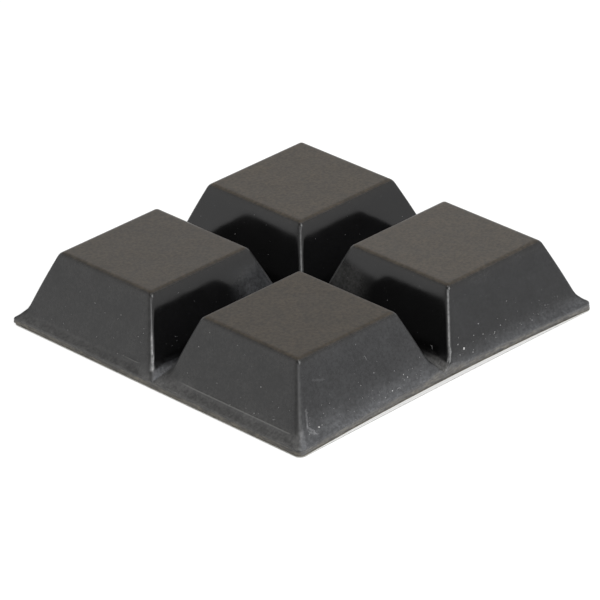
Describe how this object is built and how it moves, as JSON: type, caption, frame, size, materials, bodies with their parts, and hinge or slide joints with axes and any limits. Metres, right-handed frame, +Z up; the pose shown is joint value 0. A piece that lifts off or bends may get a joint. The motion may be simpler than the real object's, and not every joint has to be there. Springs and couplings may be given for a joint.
{
  "type": "rubber foot",
  "caption": "Block of soft black tapered square feet on a thin common web, with adhesive and a paper release liner beneath, to stand a device on a bench without sliding.",
  "frame": {"origin": "middle of the release liner's underside, on the surface the block lies on", "axes": "+Z up, from the liner to the treads; +X and +Y along the rows of feet, with the bowed cut edge at -Y"},
  "size_m": [0.0412, 0.0412, 0.008],
  "materials": {
    "rubber": "satin, treads matt",
    "adhesive": "tacky",
    "liner_paper": "smooth coated paper"
  },
  "bodies": {
    "root": {"feet_moulding": "rubber", "adhesive_layer": "adhesive", "release_liner": "liner_paper"}
  },
  "joints": []
}
